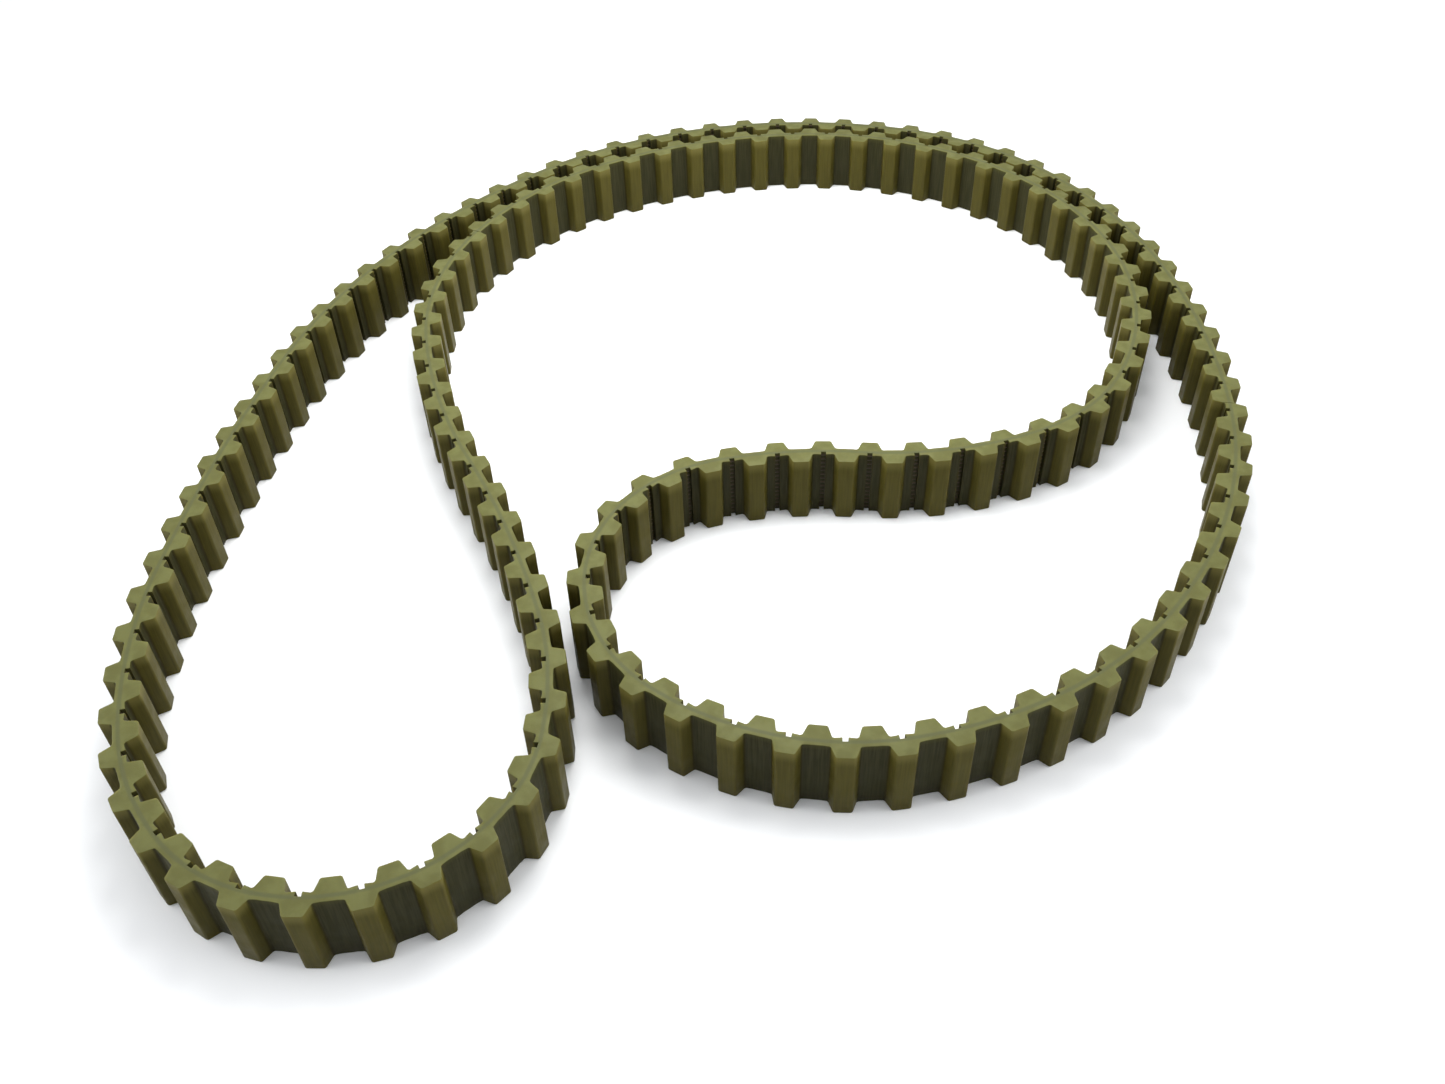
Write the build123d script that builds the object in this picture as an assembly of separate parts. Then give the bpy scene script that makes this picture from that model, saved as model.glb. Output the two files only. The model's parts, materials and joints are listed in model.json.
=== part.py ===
from build123d import *
# Double-sided T10 timing belt, 142 teeth a side, standing on its cut edge in a folded lay.
#
# The belt is one endless polyurethane casting on two steel tension cords. It bends anywhere along
# its length, so the casting is divided here into the sections between its bending places, and each
# section keeps its own stretch of the cords. The lay is a closed chain of arcs along the neutral
# line of the cords, travelled anticlockwise seen from above, so the outer teeth are on the right
# of the line and the inner teeth are on its left. Stations along the line are counted in pitches
# from the first cut. Outer teeth are centred on whole stations and inner teeth half a pitch on,
# after first_cut is taken off. Millimetres and degrees; +Z is across the belt.
import os
from math import degrees, floor, radians, tan

import numpy as np

# Belt size
pitch = 10.0                 # tooth to tooth along the cords
width = 16.0                 # cut edge to cut edge
core_thickness = 2.0         # between the lands of the two sides
tooth_height = 2.5
tooth_foot = 5.3             # tooth width where the flanks meet the land
flank_angle = 20.0           # each flank from the tooth's centre line
tooth_radius = 0.5           # at the foot and at the tip of each flank
notch_width = 1.05           # mould slot across the middle of each inner land
notch_depth = 0.55

# Tension cords
cord_diameter = 0.6
cord_spacing = 1.1
cord_edge = 0.8              # least distance from an outermost turn's centre to its cut edge
cord_clearance = 0.03        # cord to the wall of the bed that it lies in

# Bending places
flex_gap = 0.22              # between the end faces of two sections that bend
first_cut = 0.25             # a cut lies this part of a pitch past an outer tooth's centre
start_heading = -140.5       # direction of travel at the first cut, from +X

# Drawing allowances, in pitches, which are trimmed off again or stay inside a cut
bed_overrun = 0.4            # of the cord bed past each end of its section
outline_overrun = 0.5        # of a section's outline past the centres of its last teeth
trim_block = 4.0             # side of the square that trims an outline at a cut
closing_rounds = 8           # Newton steps that close the loop

# The lay: runs of sections, each with its length in pitches and its turn to the left.
# The sections of a run marked True bend against their neighbours; the others are one body.
lay = [
    ("left_run", True, [(5, 16.5), (6, 22.0), (7, 9.0), (4, 19.0)]),
    ("left_bight", True, [(3, 29.0), (4, 62.5), (4, 67.5), (3, 22.0)]),
    ("inner_left_run", True, [(5, 10.5), (5, -17.5), (5, -35.5)]),
    ("inner_upper_run", False, [(5, -34.0), (6, -32.0), (6, -43.5), (6, -42.5), (5, -34.5)]),
    ("inner_bend", True, [(3, -35.5)]),
    ("tongue_run", True, [(4, -30.0), (3, 19.5)]),
    ("tongue_tip", True, [(4, 67.0), (4, 60.5)]),
    ("front_run", True, [(5, 49.5), (6, 39.0), (7, 33.5)]),
    ("right_bend", False, [(6, 17.5), (5, 24.0)]),
    ("outer_upper_run", False, [(5, 37.5), (6, 31.5), (5, 27.5)]),
]

# Worked out from the sizes above
half_core = core_thickness / 2
half_foot = tooth_foot / 2
half_tip = half_foot - tooth_height * tan(radians(flank_angle))
tip_offset = half_core + tooth_height
cord_count = floor((width - 2 * cord_edge) / cord_spacing) + 1    # turns, S-laid and Z-laid in equal shares
sections = [(f"{run}_{number}", bends, length, turn)
            for run, bends, pieces in lay
            for number, (length, turn) in enumerate(pieces, start=1)]
lengths = np.array([length for _, _, length, _ in sections], dtype=float)
cuts = np.concatenate([[0.0], np.cumsum(lengths)])


def chain(turns):
    """The first point and heading of each section and of the chain's end, as complex numbers."""
    headings = radians(start_heading) + np.concatenate([[0.0], np.cumsum(turns)])
    chords = lengths * pitch * np.sinc(turns / 2 / np.pi)
    steps = chords * np.exp(1j * (headings[:-1] + turns / 2))
    return np.concatenate([[0.0], np.cumsum(steps)]), headings


def closed_turns():
    """The turns of the lay in radians, with the least change that closes the loop."""
    turns = np.radians([turn for _, _, _, turn in sections])
    nudge = 1e-6

    def gap(trial):
        points, headings = chain(trial)
        unturned = (headings[-1] - headings[0] - 2 * np.pi) * pitch
        return np.array([points[-1].real, points[-1].imag, unturned])

    for _ in range(closing_rounds):
        miss = gap(turns)
        slopes = [(gap(turns + nudge * row) - miss) / nudge for row in np.eye(len(turns))]
        turns = turns - np.linalg.pinv(np.array(slopes).T) @ miss
    return turns


class Arc:
    """One section's neutral line, which can be followed past both of its ends."""

    def __init__(self, index):
        self.start, self.end = cuts[index], cuts[index + 1]
        self.origin = points[index]
        self.heading = headings[index]
        self.curvature = turns[index] / (lengths[index] * pitch)
        self.centre = self.origin + 1j * np.exp(1j * self.heading) / self.curvature

    def direction(self, station):
        """Unit direction of travel at a station."""
        return np.exp(1j * (self.heading + self.curvature * (station - self.start) * pitch))

    def on_line(self, station):
        """The neutral line's point at a station."""
        return self.centre - 1j * self.direction(station) / self.curvature

    def at(self, station, offset, along=0.0):
        """A point beside the line, offset to the right, and straight along from its station."""
        shift = (along - 1j * offset) * self.direction(station)
        point = self.on_line(station) + shift
        return Vector(point.real, point.imag)

    def frame(self, station):
        """A location on the line at a station, its X along the travel and its Y to the left."""
        point = self.on_line(station)
        return Location((point.real, point.imag, 0), (0, 0, degrees(np.angle(self.direction(station)))))


def side_outline(arc, side, centres, first, last):
    """Edges along one side from station first to last, and the tooth corners to be rounded.

    side is 1 on the outer side and -1 on the inner one, and centres are the stations of its teeth.
    """
    stops = [(first, 0.0, half_core)]
    for centre in centres:
        stops += [(centre, -half_foot, half_core), (centre, -half_tip, tip_offset),
                  (centre, half_tip, tip_offset), (centre, half_foot, half_core)]
    stops.append((last, 0.0, half_core))
    corners = [arc.at(station, side * offset, along) for station, along, offset in stops]
    edges = []
    for index, (corner, following) in enumerate(zip(corners, corners[1:])):
        if index % 4:
            edges.append(Line(corner, following))
        else:
            (here, along, _), (there, back, _) = stops[index], stops[index + 1]
            middle = (here + there + (along + back) / pitch) / 2
            edges.append(ThreePointArc(corner, arc.at(middle, side * half_core), following))
    return edges, corners[1:-1]


def cut_away(arc, station, ahead):
    """A square that covers everything ahead of a station, or behind it."""
    block = trim_block * pitch
    reach = block / 2 if ahead else -block / 2
    return arc.frame(station) * Pos(reach, 0) * Rectangle(block, block)


def cord_bed(arc):
    """The flat space that a section's cords lie in, longer than the section at both ends."""
    half_bed = cord_diameter / 2 + cord_clearance
    first, last = arc.start - bed_overrun, arc.end + bed_overrun
    middle = (first + last) / 2
    bounds = [ThreePointArc(*(arc.at(station, side * half_bed) for station in (first, middle, last)))
              for side in (1, -1)]
    ends = [Line(bounds[0] @ end, bounds[1] @ end) for end in (0, 1)]
    strip = make_face(Curve() + bounds + ends)
    height = (cord_count - 1) * cord_spacing + 2 * half_bed
    return Pos(0, 0, (width - height) / 2) * extrude(strip, amount=height)


def casting(arc, start, end):
    """One section of the casting between two cut stations, hollow where its cords lie."""
    outer_first, outer_last = floor(start + first_cut), floor(end + first_cut)
    outer_teeth = [tooth - first_cut for tooth in range(outer_first, outer_last + 1)]
    inner_teeth = [tooth + 0.5 for tooth in outer_teeth]
    outer_edges, outer_corners = side_outline(
        arc, 1, outer_teeth, outer_teeth[0] - outline_overrun, outer_teeth[-1] + outline_overrun)
    inner_edges, inner_corners = side_outline(
        arc, -1, inner_teeth, inner_teeth[0] - outline_overrun, inner_teeth[-1] + outline_overrun)
    closing = [Line(outer_edges[0] @ 0, inner_edges[0] @ 0), Line(outer_edges[-1] @ 1, inner_edges[-1] @ 1)]
    profile = make_face(Curve() + outer_edges + inner_edges + closing)
    tooth_corners = outer_corners + inner_corners
    rounded = [vertex for vertex in profile.vertices()
               if min((Vector(*vertex) - corner).length for corner in tooth_corners) < tooth_radius / 10]
    profile = fillet(rounded, tooth_radius)
    for tooth in outer_teeth:
        profile -= arc.frame(tooth) * Pos(0, half_core) * Rectangle(notch_width, 2 * notch_depth)
    profile -= cut_away(arc, start, ahead=False)
    profile -= cut_away(arc, end, ahead=True)
    return extrude(profile, amount=width) - cord_bed(arc)


def cord_turns(arc, start, end, radius):
    """The turns of both cords between two stations, as separate bent rods."""
    axis = Axis((arc.centre.real, arc.centre.imag, 0), (0, 0, 1))
    swept = degrees(arc.curvature * (end - start) * pitch)
    first_height = (width - (cord_count - 1) * cord_spacing) / 2
    rods = []
    for number in range(cord_count):
        height = first_height + number * cord_spacing
        section = Plane(arc.frame(start) * Pos(0, 0, height) * Rot(0, 90, 0)) * Circle(radius)
        rods.append(revolve(section, axis, swept).solid())
    return rods


turns = closed_turns()
points, headings = chain(turns)
half_gap = flex_gap / 2 / pitch
nodes = {}
for index, (name, bends, *_) in enumerate(sections):
    arc = Arc(index)
    before_bends = sections[index - 1][1] or bends
    after_bends = sections[(index + 1) % len(sections)][1] or bends
    start = arc.start + (half_gap if before_bends else 0.0)
    end = arc.end - (half_gap if after_bends else 0.0)
    nodes[f"{name}_casting"] = [casting(arc, start, end)]
    cords = cord_turns(arc, start, end, cord_diameter / 2)
    nodes.setdefault(f"{name if bends else name[:-2]}_cords", []).extend(cords)

# The origin is under the middle of the belt's box, on the face that it stands on
box = Compound([solid for solids in nodes.values() for solid in solids]).bounding_box()
to_origin = Pos(-box.center().X, -box.center().Y, 0)

os.makedirs("parts", exist_ok=True)
for name, solids in nodes.items():
    moved = [to_origin * solid for solid in solids]
    shape = moved[0] if len(moved) == 1 else Compound(moved)
    export_step(shape, f"parts/{name}.step")

print(f"{len(nodes)} nodes, {lengths.sum():.0f} teeth a side, box {box.size}")
for (name, *_), point in zip(sections, points):
    print(f"{name:20} starts at {point.real - box.center().X:9.3f} {point.imag - box.center().Y:9.3f}")
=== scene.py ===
"""The looks of a double-sided polyurethane timing belt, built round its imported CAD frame.

The casting is modelled as straight pitches of moulded belt that are laid end to end and then
bent along the belt's neutral line, tooth by tooth. Each piece runs from the middle of one CAD
section to the middle of the next, so a bending place never falls on a seam.
"""
from __future__ import annotations

import json
import logging
import math
from dataclasses import dataclass, field
from enum import Enum

import bmesh
import bpy
import numpy as np
from mathutils import Matrix, Vector

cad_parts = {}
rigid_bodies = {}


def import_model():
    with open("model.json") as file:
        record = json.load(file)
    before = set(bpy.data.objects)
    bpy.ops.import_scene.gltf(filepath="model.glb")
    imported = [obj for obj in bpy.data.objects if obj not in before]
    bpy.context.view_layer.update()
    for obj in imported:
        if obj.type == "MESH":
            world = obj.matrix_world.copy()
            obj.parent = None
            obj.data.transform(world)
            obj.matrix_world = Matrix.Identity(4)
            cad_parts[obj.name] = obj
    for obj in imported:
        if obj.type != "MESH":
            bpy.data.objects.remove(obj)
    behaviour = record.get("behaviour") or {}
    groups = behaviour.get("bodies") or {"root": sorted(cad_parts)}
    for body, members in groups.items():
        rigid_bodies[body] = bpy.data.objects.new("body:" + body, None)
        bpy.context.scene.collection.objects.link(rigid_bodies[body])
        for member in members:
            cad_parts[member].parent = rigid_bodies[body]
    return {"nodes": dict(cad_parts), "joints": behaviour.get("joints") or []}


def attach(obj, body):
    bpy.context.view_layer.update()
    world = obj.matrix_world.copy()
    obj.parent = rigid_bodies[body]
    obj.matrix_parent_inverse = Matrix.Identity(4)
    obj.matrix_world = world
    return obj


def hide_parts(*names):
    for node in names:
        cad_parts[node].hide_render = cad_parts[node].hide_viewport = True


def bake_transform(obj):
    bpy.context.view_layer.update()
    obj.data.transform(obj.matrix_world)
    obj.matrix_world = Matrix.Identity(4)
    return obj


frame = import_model()

MM = 0.001
SMOOTH = {"interpolation_type": "SMOOTHSTEP"}
COLOUR = {"data_type": "RGBA"}
log = logging.getLogger("belt")

Run = tuple[str, bool, list[tuple[int, float]]]
Corner = tuple[float, float, bool]

# The lay: runs of sections, whether they bend, and each section's pitches and turn in degrees
LAY: list[Run] = [
    ("left_run", True, [(5, 16.5), (6, 22.0), (7, 9.0), (4, 19.0)]),
    ("left_bight", True, [(3, 29.0), (4, 62.5), (4, 67.5), (3, 22.0)]),
    ("inner_left_run", True, [(5, 10.5), (5, -17.5), (5, -35.5)]),
    ("inner_upper_run", False, [(5, -34.0), (6, -32.0), (6, -43.5), (6, -42.5), (5, -34.5)]),
    ("inner_bend", True, [(3, -35.5)]),
    ("tongue_run", True, [(4, -30.0), (3, 19.5)]),
    ("tongue_tip", True, [(4, 67.0), (4, 60.5)]),
    ("front_run", True, [(5, 49.5), (6, 39.0), (7, 33.5)]),
    ("right_bend", False, [(6, 17.5), (5, 24.0)]),
    ("outer_upper_run", False, [(5, 37.5), (6, 31.5), (5, 27.5)]),
]
START_HEADING = -140.5
FIRST_JOINT = "left_run_1_bend"
FIXED_BODY = "upper_run"
CLOSING_ROUNDS = 8


class Side(Enum):
    """The two toothed sides of the belt, with the direction of each across the neutral line."""

    OUTER = -1
    INNER = 1


@dataclass(frozen=True)
class ToothForm:
    """The T10 tooth form, in millimetres and degrees."""

    pitch: float = 10.0
    width: float = 16.0
    half_core: float = 1.0
    tooth_height: float = 2.5
    half_foot: float = 2.65
    flank_angle: float = 20.0
    corner_radius: float = 0.5
    fillet_reach: float = 0.4
    slot_width: float = 1.05
    slot_floor: float = 0.2
    lip_width: float = 0.28
    lip_height: float = 0.07
    rim_bevel: float = 0.16
    cord_radius: float = 0.3
    cut_phase: float = 2.5
    end_clearance: float = 0.11

    @property
    def tip(self) -> float:
        """Distance of the tooth tips from the neutral line."""
        return self.half_core + self.tooth_height

    @property
    def half_tip(self) -> float:
        """Half of a tooth's width at its tip."""
        return self.half_foot - self.tooth_height * math.tan(math.radians(self.flank_angle))

    @property
    def corner_turn(self) -> float:
        """How far the outline turns at each corner of a tooth, in degrees."""
        return 90.0 - self.flank_angle


@dataclass(frozen=True)
class Section:
    """One CAD section of the belt: its name, body, and first and last stations in pitches."""

    name: str
    body: str
    start: float
    end: float

    @property
    def middle(self) -> float:
        """The station, a whole number of pitches along, where two pieces meet."""
        return self.start + (self.end - self.start) // 2


@dataclass
class Lay:
    """The neutral line of the folded belt: a closed chain of arcs, placed by the CAD frame.

    Args:
        form: the tooth form, which gives the pitch.
        rows: the runs of sections, as in LAY.
    """

    form: ToothForm
    rows: list[Run]
    sections: list[Section] = field(init=False)
    lengths: np.ndarray = field(init=False)
    turns: np.ndarray = field(init=False)
    points: np.ndarray = field(init=False)
    headings: np.ndarray = field(init=False)

    def __post_init__(self) -> None:
        """Closes the loop and moves its first point to the first CAD hinge."""
        flat = [(f"{run}_{number}", bends, pitches, turn) for run, bends, pieces in self.rows
                for number, (pitches, turn) in enumerate(pieces, start=1)]
        self.lengths = np.array([pitches for _, _, pitches, _ in flat], dtype=float)
        self.turns = self._closed(np.radians([turn for _, _, _, turn in flat]))
        self.points, self.headings = self._chain(self.turns)
        first = next(joint for joint in frame["joints"] if joint["name"] == FIRST_JOINT)
        self.points = self.points + complex(first["pos_m"][0], first["pos_m"][1]) / MM
        self.sections = [Section(name, name if bends else FIXED_BODY, end - pitches, end)
                         for (name, bends, pitches, _), end in zip(flat, np.cumsum(self.lengths))]

    def _chain(self, turns: np.ndarray) -> tuple[np.ndarray, np.ndarray]:
        """Follows the arcs.

        Args:
            turns: each section's turn in radians.

        Returns:
            The first points and headings of the sections, and of the chain's end.
        """
        headings = math.radians(START_HEADING) + np.concatenate([[0.0], np.cumsum(turns)])
        chords = self.lengths * self.form.pitch * np.sinc(turns / 2 / np.pi)
        steps = chords * np.exp(1j * (headings[:-1] + turns / 2))
        return np.concatenate([[0.0], np.cumsum(steps)]), headings

    def _closed(self, turns: np.ndarray) -> np.ndarray:
        """The turns with the least change that brings the chain back to its start.

        Args:
            turns: the turns of the lay in radians.

        Returns:
            The closed turns.
        """
        nudge = 1e-6
        for _ in range(CLOSING_ROUNDS):
            miss = self._gap(turns)
            slopes = [(self._gap(turns + nudge * row) - miss) / nudge for row in np.eye(len(turns))]
            turns = turns - np.linalg.pinv(np.array(slopes).T) @ miss
        return turns

    def _gap(self, turns: np.ndarray) -> np.ndarray:
        """How far a chain of turns misses its own start, in x, y and heading."""
        points, headings = self._chain(turns)
        unturned = (headings[-1] - headings[0] - 2 * np.pi) * self.form.pitch
        return np.array([points[-1].real, points[-1].imag, unturned])

    def frames(self, stations: np.ndarray) -> tuple[np.ndarray, np.ndarray]:
        """Points and unit directions on the neutral line.

        Args:
            stations: distances from the first cut, in pitches.

        Returns:
            The points in millimetres and the directions, as complex numbers.
        """
        around = np.mod(stations, self.lengths.sum())
        starts = np.array([section.start for section in self.sections])
        index = np.clip(np.searchsorted(starts, around, side="right") - 1, 0, len(starts) - 1)
        curvature = (self.turns / (self.lengths * self.form.pitch))[index]
        along = (around - starts[index]) * self.form.pitch
        chord = along * np.sinc(curvature * along / 2 / np.pi)
        points = self.points[index] + chord * np.exp(1j * (self.headings[index] + curvature * along / 2))
        return points, np.exp(1j * (self.headings[index] + curvature * along))

    def bend(self, station: float, x: np.ndarray, y: np.ndarray) -> np.ndarray:
        """Bends straight belt along the lay; each tooth stays rigid about its own centre.

        Args:
            station: the station of the straight belt's x of 0.
            x: distances along the straight belt.
            y: distances across the neutral line, to the left.

        Returns:
            The bent points as complex numbers.
        """
        form = self.form
        stagger = np.where(y > 0, form.pitch / 2, 0.0) - form.cut_phase
        centre = np.round((x - stagger) / form.pitch) * form.pitch + stagger
        in_tooth = np.abs(x - centre) < form.half_foot + form.fillet_reach
        anchor = np.where((np.abs(y) > form.half_core / 2) & in_tooth, centre, x)
        points, directions = self.frames(station + anchor / form.pitch)
        return points + (x - anchor + 1j * y) * directions


@dataclass
class Casting:
    """The polyurethane casting, as pieces that run between the middles of CAD sections."""

    form: ToothForm
    lay: Lay
    material: bpy.types.Material
    bend_steps: int = 8
    corner_steps: int = 4
    rim_steps: int = 2
    roundness: float = 0.5
    weld: float = 1e-4
    smooth_angle: float = 28.0

    def tooth(self, centre: float, side: Side) -> list[Corner]:
        """The four corners of a tooth, in the direction of travel."""
        form = self.form
        corners = ((-form.half_foot, form.half_core), (-form.half_tip, form.tip),
                   (form.half_tip, form.tip), (form.half_foot, form.half_core))
        return [(centre + x, side.value * y, True) for x, y in corners]

    def slot(self, centre: float) -> list[Corner]:
        """The mould slot across an inner land and the lips beside it, against the travel."""
        form = self.form
        half_slot = form.slot_width / 2
        lip = half_slot + form.lip_width
        half = [(lip + form.lip_width, form.half_core), (lip, form.half_core + form.lip_height),
                (half_slot, form.half_core + form.lip_height), (half_slot, form.slot_floor)]
        return ([(centre + x, y, False) for x, y in half]
                + [(centre - x, y, False) for x, y in reversed(half)])

    def outline(self) -> list[Corner]:
        """The corners of one pitch and a margin on each side of it, anticlockwise.

        Returns:
            x, y and whether the corner is rounded.
        """
        form = self.form
        half_pitch = form.pitch / 2
        first, last = -form.cut_phase, form.pitch - form.cut_phase
        corners = [(first, -form.tip, False)] + self.tooth(first, Side.OUTER)[2:]
        corners += self.tooth(last, Side.OUTER)
        corners += [(last + half_pitch, -form.half_core, False), (last + half_pitch, form.tip, False)]
        corners += self.tooth(last + half_pitch, Side.INNER)[1::-1]
        corners += self.slot(last)
        corners += self.tooth(first + half_pitch, Side.INNER)[::-1]
        corners.append((first, form.half_core, False))
        return corners

    def straight_pitch(self) -> bmesh.types.BMesh:
        """One pitch of straight belt, open at both ends, with its cut edges broken.

        Returns:
            A new bmesh in millimetres, x along the belt from 0 to the pitch.
        """
        form = self.form
        mesh = bmesh.new()
        corners = self.outline()
        verts = [mesh.verts.new((x, y, 0.0)) for x, y, _ in corners]
        mesh.faces.new(verts)
        rounded = [vert for vert, corner in zip(verts, corners) if corner[2]]
        tangent = form.corner_radius * math.tan(math.radians(form.corner_turn / 2))
        bmesh.ops.bevel(mesh, geom=rounded, offset=tangent, offset_type="OFFSET", affect="VERTICES",
                        segments=self.corner_steps, profile=self.roundness, material=-1)
        risen = bmesh.ops.extrude_face_region(mesh, geom=mesh.faces[:])["geom"]
        lifted = [item for item in risen if isinstance(item, bmesh.types.BMVert)]
        bmesh.ops.translate(mesh, verts=lifted, vec=(0.0, 0.0, form.width))
        bmesh.ops.recalc_face_normals(mesh, faces=mesh.faces[:])
        rims = [edge for edge in mesh.edges
                if abs(edge.verts[0].co.z - edge.verts[1].co.z) < form.width / 2]
        bmesh.ops.bevel(mesh, geom=rims, offset=form.rim_bevel, offset_type="OFFSET", affect="EDGES",
                        segments=self.rim_steps, profile=self.roundness, material=-1,
                        clamp_overlap=True)
        self.slice(mesh, (0.0, 0.0, 0.0), (-1.0, 0.0, 0.0), trim=True)
        self.slice(mesh, (form.pitch, 0.0, 0.0), (1.0, 0.0, 0.0), trim=True)
        for step in range(1, self.bend_steps):
            self.slice(mesh, (step * form.pitch / self.bend_steps, 0.0, 0.0), (1.0, 0.0, 0.0))
        for y in (-form.half_core, 0.0, form.half_core):
            self.slice(mesh, (0.0, y, 0.0), (0.0, 1.0, 0.0))
        return mesh

    def slice(self, mesh: bmesh.types.BMesh, place: tuple[float, float, float],
              facing: tuple[float, float, float], trim: bool = False) -> None:
        """Cuts a mesh along a plane.

        Args:
            mesh: the mesh to cut.
            place: a point of the plane.
            facing: the plane's normal.
            trim: whether what lies ahead of the plane is taken away.
        """
        bmesh.ops.bisect_plane(mesh, geom=mesh.verts[:] + mesh.edges[:] + mesh.faces[:],
                               plane_co=place, plane_no=facing, clear_outer=trim)

    def piece(self, name: str, start: float, end: float, short: tuple[float, float] = (0.0, 0.0)
              ) -> bpy.types.Object:
        """A closed piece of the casting between two stations.

        Args:
            name: the piece's name.
            start: its first station in pitches.
            end: its last station in pitches.
            short: how far its first and last faces stop short of them, in millimetres.

        Returns:
            The new object.
        """
        form = self.form
        mesh = self.straight_pitch()
        master = mesh.verts[:] + mesh.edges[:] + mesh.faces[:]
        for number in range(1, round(end - start)):
            copied = bmesh.ops.duplicate(mesh, geom=master)["geom"]
            verts = [item for item in copied if isinstance(item, bmesh.types.BMVert)]
            bmesh.ops.translate(mesh, verts=verts, vec=(number * form.pitch, 0.0, 0.0))
        bmesh.ops.remove_doubles(mesh, verts=mesh.verts[:], dist=self.weld)
        bmesh.ops.holes_fill(mesh, edges=[edge for edge in mesh.edges if edge.is_boundary], sides=0)
        bmesh.ops.recalc_face_normals(mesh, faces=mesh.faces[:])
        self.map_places(mesh, start * form.pitch)
        places = np.array([vert.co for vert in mesh.verts])
        along = np.clip(places[:, 0], short[0], (end - start) * form.pitch - short[1])
        bent = self.lay.bend(start, along, places[:, 1])
        for vert, point in zip(mesh.verts, bent):
            vert.co = Vector((point.real, point.imag, vert.co.z)) * MM
        data = bpy.data.meshes.new(name)
        mesh.to_mesh(data)
        mesh.free()
        data.set_sharp_from_angle(angle=math.radians(self.smooth_angle))
        data.materials.append(self.material)
        made = bpy.data.objects.new(name, data)
        bpy.context.scene.collection.objects.link(made)
        return made

    def map_places(self, mesh: bmesh.types.BMesh, before: float) -> None:
        """Keeps each corner's place on the straight belt, in millimetres, as two UV maps.

        Args:
            mesh: the straight piece.
            before: the length of belt before it.
        """
        run_map = mesh.loops.layers.uv.new("belt")
        depth_map = mesh.loops.layers.uv.new("depth")
        for face in mesh.faces:
            face.smooth = True
            for loop in face.loops:
                place = loop.vert.co
                loop[run_map].uv = (before + place.x, place.z)
                loop[depth_map].uv = (place.y, 0.0)

    def build(self) -> None:
        """Makes every piece, and attaches each to its body, or bakes a piece that spans a hinge into
        world space.
        """
        sections = self.lay.sections
        joined = {frozenset((joint["parent"], joint["child"])) for joint in frame["joints"]}
        for before, after in zip(sections, sections[1:] + sections[:1]):
            finish = after.middle + (self.lay.lengths.sum() if after is sections[0] else 0.0)
            if before.body == after.body:
                made = self.piece(f"casting_{before.name}_to_{after.name}", before.middle, finish)
                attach(made, before.body)
                self.stand_for(made, before, after)
            elif frozenset((before.body, after.body)) in joined:
                made = self.piece(f"casting_{before.name}_to_{after.name}", before.middle, finish)
                self.flex(made, before)
                self.stand_for(made, before, after)
            else:
                gap = self.form.end_clearance
                last = self.piece(f"casting_{before.name}_end", before.middle, before.end, (0.0, gap))
                first = self.piece(f"casting_{after.name}_end", before.end, finish, (gap, 0.0))
                for made, owner in ((last, before), (first, after)):
                    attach(made, owner.body)
                    self.stand_for(made, owner)

    def flex(self, made: bpy.types.Object, before: Section) -> None:
        """Bakes a piece that spans the hinge between two sections into world space; it is not attached
        to a body and does not bend.
        """
        point, direction = self.lay.frames(np.array([before.end]))
        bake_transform(made)

    def stand_for(self, made: bpy.types.Object, *owners: Section) -> None:
        """Hides the CAD castings of the sections a piece stands for, and logs the piece's face count."""
        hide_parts(*(f"{owner.name}_casting" for owner in owners))
        log.info("%s: %d faces", made.name, len(made.data.polygons))


def linear(code: str) -> tuple[float, float, float, float]:
    """Turns an sRGB hex colour to linear RGBA.

    Args:
        code: six hex digits after a hash.

    Returns:
        The linear colour with an alpha of 1.
    """
    parts = [int(code[place:place + 2], 16) / 255 for place in (1, 3, 5)]
    curve = [part / 12.92 if part <= 0.04045 else ((part + 0.055) / 1.055) ** 2.4 for part in parts]
    return (*curve, 1.0)


def add_node(tree: bpy.types.NodeTree, kind: str, settings: dict | None = None,
             inputs: dict | None = None) -> bpy.types.Node:
    """Adds a shader node.

    Args:
        tree: the node tree.
        kind: the node's type name without its ShaderNode prefix.
        settings: the node's own properties.
        inputs: socket name or number to a value, or to an output socket that is linked to it.

    Returns:
        The new node.
    """
    node = tree.nodes.new(f"ShaderNode{kind}")
    for name, value in (settings or {}).items():
        setattr(node, name, value)
    for name, value in (inputs or {}).items():
        socket = node.inputs[name]
        if isinstance(value, bpy.types.NodeSocket):
            tree.links.new(value, socket)
        else:
            socket.default_value = value
    return node


@dataclass(frozen=True)
class Surface:
    """Where a point of the casting lies, as sockets in millimetres, with its mottling."""

    distance: bpy.types.NodeSocket
    below_top: bpy.types.NodeSocket
    on_rim: bpy.types.NodeSocket
    cloud: bpy.types.NodeSocket
    streaks: bpy.types.NodeSocket
    grain: bpy.types.NodeSocket


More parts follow.
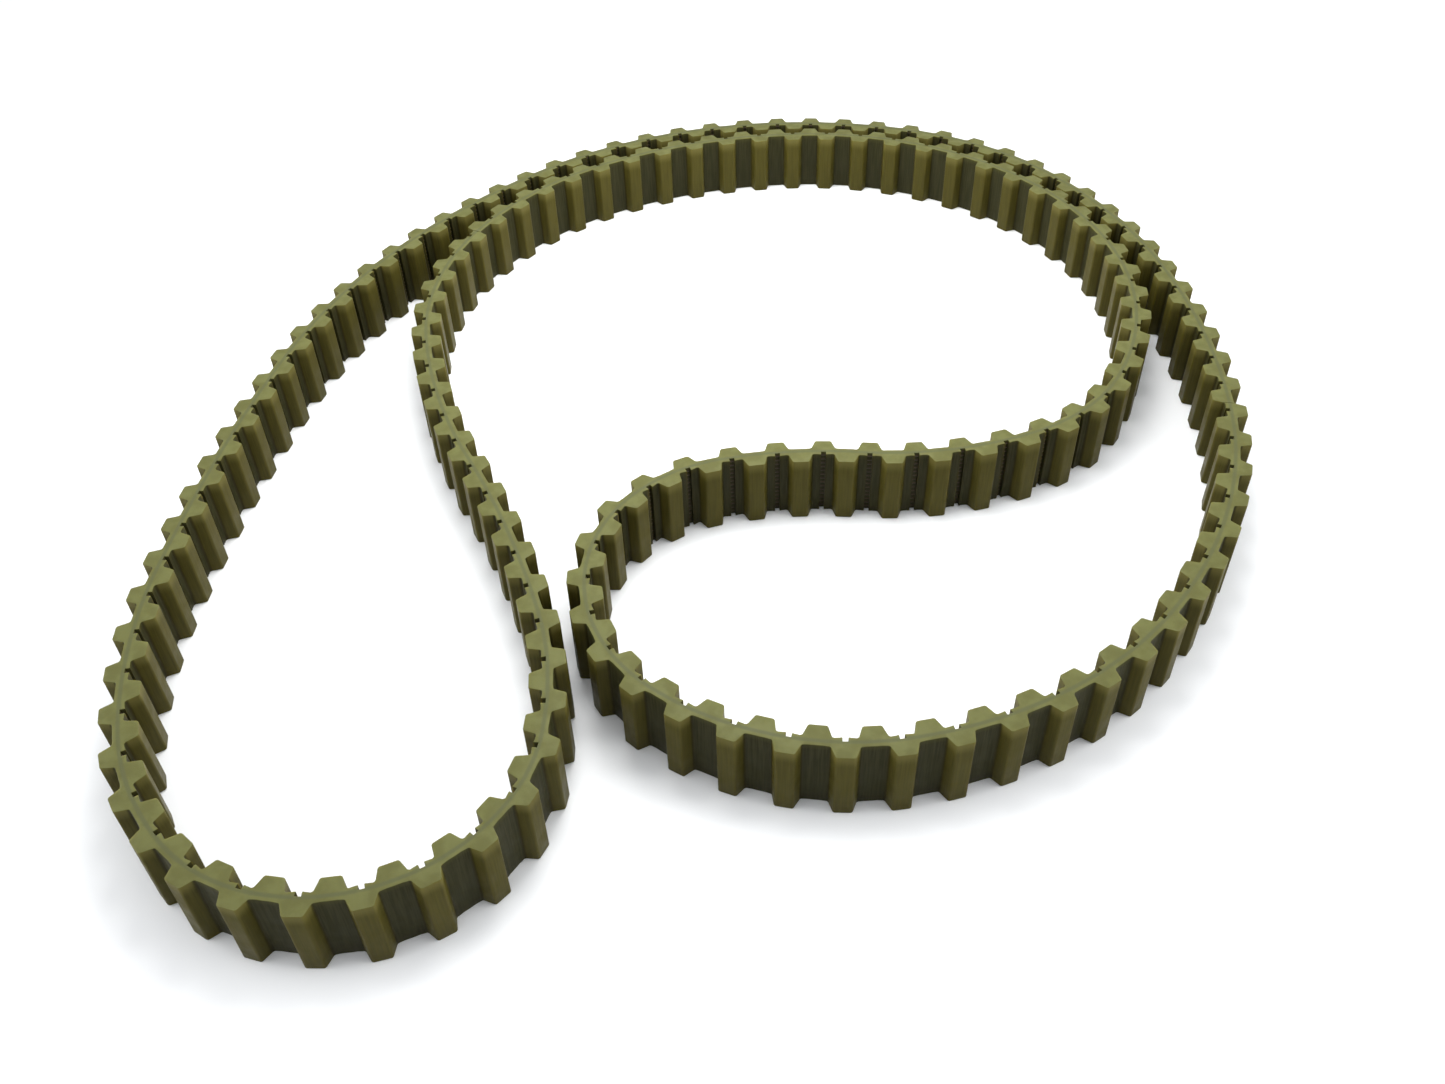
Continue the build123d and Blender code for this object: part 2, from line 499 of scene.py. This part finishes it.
@dataclass(frozen=True)
class Polyurethane:
    """Polyurethane of 92 Shore A, cast in a mould and cut to width.

    The eye sees a satin, slightly waxy olive that lets light a millimetre or two into the teeth and
    that is nearly black over the lands, where the steel cords lie close under it. The upper ends of the
    teeth and lands are painted paler, a painted glow for light that falls in through the top rim, and
    the root fillets are painted darker, a painted shade in the creases. The mould leaves fine upright
    streaks. Sizes are in millimetres, and tooth_band, fillet_rise and fillet_fall are heights above
    the land. The other bands are the parts of a noise's range that a change runs over.
    """

    tooth: str = "#4b451a"
    tooth_streak: str = "#443f17"
    # Painted glow: a paler colour for the teeth near the top edge, painted light from the rim.
    tooth_painted_glow: str = "#645e30"
    land: str = "#2c2b15"
    land_streak: str = "#36341e"
    # Painted glow: a paler colour for the lands near the top edge, painted light from the rim.
    land_painted_glow: str = "#43411e"
    # Painted shade: a darker colour for the root fillets between land and flank.
    fillet_painted_shade: str = "#2d270d"
    rim: str = "#67683f"
    rim_mottle: str = "#5f5f38"
    rim_cord_line: str = "#585a3e"
    streak_width: float = 0.3
    streak_length: float = 8.0
    mottle_size: float = 3.0
    grain_size: float = 0.2
    streak_band: tuple[float, float] = (0.32, 0.68)
    mottle_band: tuple[float, float] = (0.35, 0.65)
    coarse_detail: float = 4.0
    fine_detail: float = 3.0
    # How far below the top edge the painted glow starts and fades out, and how much of it shows.
    painted_glow_start: float = 0.1
    painted_glow_depth: float = 3.0
    tooth_painted_glow_share: float = 0.8
    land_painted_glow_share: float = 0.5
    tooth_band: tuple[float, float] = (0.05, 0.45)
    # Where the painted shade in the fillets rises and falls, and how much of it shows.
    fillet_rise: tuple[float, float] = (0.02, 0.15)
    fillet_fall: tuple[float, float] = (0.2, 0.7)
    fillet_painted_shade_share: float = 0.65
    cord_line_share: float = 0.8
    roughness: float = 0.46
    roughness_dip: float = 0.06
    roughness_rise: float = 0.12
    roughness_band: tuple[float, float] = (0.3, 0.7)
    refraction: float = 1.5
    dusty_specular: float = 0.07
    light_inside: float = 0.4
    light_reach: float = 1.6
    light_reach_by_colour: tuple[float, float, float] = (1.0, 0.85, 0.4)
    grain_share: float = 0.3
    relief: float = 0.25
    relief_height: float = 0.12

    def build(self, form: ToothForm) -> bpy.types.Material:
        """Makes the material.

        Args:
            form: the tooth form, which says where the lands, fillets and teeth lie.

        Returns:
            The new material.
        """
        material = bpy.data.materials.new("cast_polyurethane")
        material.use_nodes = True
        tree = material.node_tree
        shader = tree.nodes["Principled BSDF"]
        surface = self.surface(tree, form)
        side = self.side(tree, form, surface)
        rim = self.rim_colour(tree, form, surface)
        colour = add_node(tree, "Mix", COLOUR, {0: surface.on_rim, 6: side, 7: rim})
        tree.links.new(colour.outputs[2], shader.inputs["Base Color"])

        # Typical of polyurethane; the low specular level is the dusty film of mould release
        shader.inputs["IOR"].default_value = self.refraction
        shader.inputs["Specular IOR Level"].default_value = self.dusty_specular
        shader.inputs["Subsurface Weight"].default_value = self.light_inside
        shader.inputs["Subsurface Radius"].default_value = self.light_reach_by_colour
        shader.inputs["Subsurface Scale"].default_value = self.light_reach * MM
        rough = add_node(tree, "MapRange", None, {
            "Value": surface.cloud, "From Min": self.roughness_band[0],
            "From Max": self.roughness_band[1], "To Min": self.roughness - self.roughness_dip,
            "To Max": self.roughness + self.roughness_rise})
        tree.links.new(rough.outputs[0], shader.inputs["Roughness"])
        marks = add_node(tree, "Mix", None, {
            0: self.grain_share, 2: surface.streaks, 3: surface.grain})
        bump = add_node(tree, "Bump", None, {
            "Strength": self.relief, "Distance": self.relief_height * MM,
            "Height": marks.outputs[0]})
        tree.links.new(bump.outputs[0], shader.inputs["Normal"])
        return material

    def surface(self, tree: bpy.types.NodeTree, form: ToothForm) -> Surface:
        """Reads the piece's UV maps and lays the mottling, streaks and grain on them.

        Args:
            tree: the material's node tree.
            form: the tooth form.

        Returns:
            The sockets that the colours are worked out from.
        """
        run = add_node(tree, "UVMap", {"uv_map": "belt"})
        depth = add_node(tree, "UVMap", {"uv_map": "depth"})
        run_parts = add_node(tree, "SeparateXYZ", None, {0: run.outputs[0]})
        across = add_node(tree, "SeparateXYZ", None, {0: depth.outputs[0]}).outputs[0]
        along, height = run_parts.outputs[0], run_parts.outputs[1]
        distance = add_node(tree, "Math", {"operation": "ABSOLUTE"}, {0: across})
        below_top = add_node(tree, "Math", {"operation": "SUBTRACT"}, {0: form.width, 1: height})
        off_middle = add_node(tree, "Math", {"operation": "SUBTRACT"}, {0: height, 1: form.width / 2})
        from_middle = add_node(tree, "Math", {"operation": "ABSOLUTE"}, {0: off_middle.outputs[0]})
        on_rim = add_node(tree, "MapRange", SMOOTH, {
            "Value": from_middle.outputs[0], "From Min": form.width / 2 - form.rim_bevel,
            "From Max": form.width / 2 - form.rim_bevel / 5})
        place = add_node(tree, "CombineXYZ", None, {0: along, 1: height, 2: across})
        streak_scale = (1 / self.streak_width, 1 / self.streak_length, 1 / self.streak_width)
        streak_place = add_node(tree, "VectorMath", {"operation": "MULTIPLY"},
                                {0: place.outputs[0], 1: streak_scale})
        cloud = add_node(tree, "TexNoise", None, {
            "Vector": place.outputs[0], "Scale": 1 / self.mottle_size,
            "Detail": self.coarse_detail})
        streaks = add_node(tree, "TexNoise", None, {
            "Vector": streak_place.outputs[0], "Scale": 1.0, "Detail": self.fine_detail})
        grain = add_node(tree, "TexNoise", None, {
            "Vector": place.outputs[0], "Scale": 1 / self.grain_size,
            "Detail": self.fine_detail})
        return Surface(distance.outputs[0], below_top.outputs[0], on_rim.outputs[0],
                       cloud.outputs[0], streaks.outputs[0], grain.outputs[0])

    def side(self, tree: bpy.types.NodeTree, form: ToothForm, surface: Surface) -> bpy.types.NodeSocket:
        """The colour of teeth, lands and the fillets between them, with painted glow near the top edge
        and painted shade in the fillets.

        Args:
            tree: the material's node tree.
            form: the tooth form.
            surface: the places on the casting.

        Returns:
            The colour's socket.
        """
        core = form.half_core
        streaky = add_node(tree, "MapRange", SMOOTH, {
            "Value": surface.streaks, "From Min": self.streak_band[0],
            "From Max": self.streak_band[1]})
        # Painted glow: the teeth are painted paler towards the top edge, in place of light falling in
        # through the rim.
        tooth_painted_glow_mask = add_node(tree, "MapRange", SMOOTH, {
            "Value": surface.below_top, "From Min": self.painted_glow_start, "From Max": self.painted_glow_depth,
            "To Min": self.tooth_painted_glow_share, "To Max": 0.0})
        tooth = add_node(tree, "Mix", COLOUR, {
            0: streaky.outputs[0], 6: linear(self.tooth), 7: linear(self.tooth_streak)})
        tooth = add_node(tree, "Mix", COLOUR, {
            0: tooth_painted_glow_mask.outputs[0], 6: tooth.outputs[2], 7: linear(self.tooth_painted_glow)})
        # Painted glow: the lands are painted paler towards the top edge as well.
        land_painted_glow_mask = add_node(tree, "MapRange", SMOOTH, {
            "Value": surface.below_top, "From Min": self.painted_glow_start, "From Max": self.painted_glow_depth / 2,
            "To Min": self.land_painted_glow_share, "To Max": 0.0})
        land = add_node(tree, "Mix", COLOUR, {
            0: streaky.outputs[0], 6: linear(self.land), 7: linear(self.land_streak)})
        land = add_node(tree, "Mix", COLOUR, {
            0: land_painted_glow_mask.outputs[0], 6: land.outputs[2], 7: linear(self.land_painted_glow)})
        in_tooth = add_node(tree, "MapRange", SMOOTH, {
            "Value": surface.distance, "From Min": core + self.tooth_band[0],
            "From Max": core + self.tooth_band[1]})
        side = add_node(tree, "Mix", COLOUR, {
            0: in_tooth.outputs[0], 6: land.outputs[2], 7: tooth.outputs[2]})
        # Painted shade: a darker band in the root fillets between land and flank.
        off_land = add_node(tree, "MapRange", SMOOTH, {
            "Value": surface.distance, "From Min": core + self.fillet_rise[0],
            "From Max": core + self.fillet_rise[1]})
        off_flank = add_node(tree, "MapRange", SMOOTH, {
            "Value": surface.distance, "From Min": core + self.fillet_fall[0],
            "From Max": core + self.fillet_fall[1], "To Min": self.fillet_painted_shade_share, "To Max": 0.0})
        fillet_painted_shade_mask = add_node(tree, "Math", {"operation": "MULTIPLY"},
                             {0: off_land.outputs[0], 1: off_flank.outputs[0]})
        return add_node(tree, "Mix", COLOUR, {
            0: fillet_painted_shade_mask.outputs[0], 6: side.outputs[2], 7: linear(self.fillet_painted_shade)}).outputs[2]

    def rim_colour(self, tree: bpy.types.NodeTree, form: ToothForm,
                   surface: Surface) -> bpy.types.NodeSocket:
        """The colour of the cut edge, greyer along the line of the cords.

        Args:
            tree: the material's node tree.
            form: the tooth form.
            surface: the places on the casting.

        Returns:
            The colour's socket.
        """
        mottled = add_node(tree, "MapRange", SMOOTH, {
            "Value": surface.cloud, "From Min": self.mottle_band[0],
            "From Max": self.mottle_band[1]})
        rim = add_node(tree, "Mix", COLOUR, {
            0: mottled.outputs[0], 6: linear(self.rim), 7: linear(self.rim_mottle)})
        cord_line = add_node(tree, "MapRange", SMOOTH, {
            "Value": surface.distance, "From Min": form.cord_radius / 2,
            "From Max": form.cord_radius * 2, "To Min": self.cord_line_share, "To Max": 0.0})
        return add_node(tree, "Mix", COLOUR, {
            0: cord_line.outputs[0], 6: rim.outputs[2], 7: linear(self.rim_cord_line)}).outputs[2]


@dataclass(frozen=True)
class SteelCord:
    """Stranded steel tension cord, drawn bright and then cast in.

    In the mould slots it is dulled and browned by a skin of polyurethane. The skin is blotchy at
    about the diameter of the cord. Metallic and roughness lie between bare wire and that skin.
    """

    wire: str = "#4c3d27"
    film: str = "#1d160b"
    metallic: float = 0.55
    roughness: float = 0.45
    blotch_size: float = 0.65
    blotch_detail: float = 2.0
    relief: float = 0.4
    relief_height: float = 0.05

    def build(self) -> bpy.types.Material:
        """Makes the material.

        Returns:
            The new material.
        """
        material = bpy.data.materials.new("stranded_steel_cord")
        material.use_nodes = True
        tree = material.node_tree
        shader = tree.nodes["Principled BSDF"]
        place = add_node(tree, "TexCoord")
        film = add_node(tree, "TexNoise", None, {
            "Vector": place.outputs["Object"], "Scale": 1 / (self.blotch_size * MM),
            "Detail": self.blotch_detail})
        colour = add_node(tree, "Mix", COLOUR, {
            0: film.outputs[0], 6: linear(self.wire), 7: linear(self.film)})
        bump = add_node(tree, "Bump", None, {
            "Strength": self.relief, "Distance": self.relief_height * MM,
            "Height": film.outputs[0]})
        tree.links.new(colour.outputs[2], shader.inputs["Base Color"])
        tree.links.new(bump.outputs[0], shader.inputs["Normal"])
        shader.inputs["Metallic"].default_value = self.metallic
        shader.inputs["Roughness"].default_value = self.roughness
        return material


@dataclass(frozen=True)
class Cords:
    """The steel tension cords, which show in the mould slots of the inner side."""

    material: bpy.types.Material

    def dress(self) -> None:
        """Gives every CAD cord node the steel finish."""
        for name, node in frame["nodes"].items():
            if name.endswith("_cords"):
                for slot in node.material_slots:
                    slot.material = self.material
                log.info("%s: steel", name)


@dataclass(frozen=True)
class Lamp:
    """A square soft lamp, aimed at the middle of the table; metres and watts."""

    name: str
    place: tuple[float, float, float]
    size: float
    power: float

    def build(self) -> None:
        """Hangs the lamp."""
        data = bpy.data.lights.new(self.name, "AREA")
        data.size = self.size
        data.energy = self.power
        holder = bpy.data.objects.new(self.name, data)
        holder.location = self.place
        holder.rotation_euler = Vector(self.place).to_track_quat("Z", "Y").to_euler()
        bpy.context.scene.collection.objects.link(holder)


@dataclass(frozen=True)
class Studio:
    """A white table under soft light, and the camera.

    Camera sizes and table_drop are millimetres, angles are degrees in the part's frame, and
    table_size and the lamps are in metres.
    """

    camera_at: tuple[float, float, float] = (-1.6, -242.7, 196.5)
    tilt_down: float = 43.47
    roll: float = -1.74
    lens: float = 32.6
    sensor: float = 36.0
    nearest: float = 10.0
    table: str = "#fafbfb"
    table_roughness: float = 0.9
    table_size: float = 4.0
    table_drop: float = 0.05
    sky: str = "#f6f9ff"
    sky_strength: float = 0.52
    overhead_strength: float = 0.62
    overhead_spread: float = 50.0
    lamps: tuple[Lamp, ...] = (
        Lamp("lamp_over_middle", (0.0, 0.04, 0.22), 0.14, 0.55),
        Lamp("fill_from_left", (-0.55, -0.05, 0.3), 0.5, 1.8),
        Lamp("fill_from_right", (0.55, -0.05, 0.34), 0.5, 2.2),
    )

    def build(self) -> None:
        """Makes the table, the lights and the camera."""
        self.table_top()
        self.lights()
        self.camera()
        log.info("studio: table, sky, %d lamps and camera", len(self.lamps) + 1)

    def table_top(self) -> None:
        """A wide sheet of matt white paper, a hair under the belt."""
        mesh = bmesh.new()
        bmesh.ops.create_grid(mesh, x_segments=1, y_segments=1, size=self.table_size)
        data = bpy.data.meshes.new("table_top")
        mesh.to_mesh(data)
        mesh.free()
        paper = bpy.data.materials.new("matt_white_paper")
        paper.use_nodes = True
        shader = paper.node_tree.nodes["Principled BSDF"]
        shader.inputs["Base Color"].default_value = linear(self.table)
        shader.inputs["Roughness"].default_value = self.table_roughness
        data.materials.append(paper)
        table = bpy.data.objects.new("table_top", data)
        table.location.z = -self.table_drop * MM
        bpy.context.scene.collection.objects.link(table)

    def lights(self) -> None:
        """A dim even sky, a broad light straight down on the table, and the lamps."""
        world = bpy.data.worlds.new("soft_sky")
        world.use_nodes = True
        background = world.node_tree.nodes["Background"]
        background.inputs["Color"].default_value = linear(self.sky)
        background.inputs["Strength"].default_value = self.sky_strength
        bpy.context.scene.world = world
        overhead = bpy.data.lights.new("overhead", "SUN")
        overhead.energy = self.overhead_strength
        overhead.angle = math.radians(self.overhead_spread)
        bpy.context.scene.collection.objects.link(bpy.data.objects.new("overhead", overhead))
        for lamp in self.lamps:
            lamp.build()
        bpy.context.scene.view_settings.view_transform = "Standard"

    def camera(self) -> None:
        """The camera, with no depth of field."""
        data = bpy.data.cameras.new("camera")
        data.sensor_width = self.sensor
        data.lens = self.lens
        data.clip_start = self.nearest * MM
        holder = bpy.data.objects.new("camera", data)
        holder.location = Vector(self.camera_at) * MM
        tilt = Matrix.Rotation(math.radians(90.0 - self.tilt_down), 3, "X")
        roll = Matrix.Rotation(math.radians(self.roll), 3, "Z")
        holder.rotation_euler = (tilt @ roll).to_euler()
        bpy.context.scene.collection.objects.link(holder)
        bpy.context.scene.camera = holder


def main() -> None:
    """Builds the belt and its studio."""
    logging.basicConfig(level=logging.INFO)
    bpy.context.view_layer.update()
    form = ToothForm()
    Casting(form, Lay(form, LAY), Polyurethane().build(form)).build()
    Cords(SteelCord().build()).dress()
    Studio().build()
    bpy.context.view_layer.update()


if __name__ == "__main__":
    main()
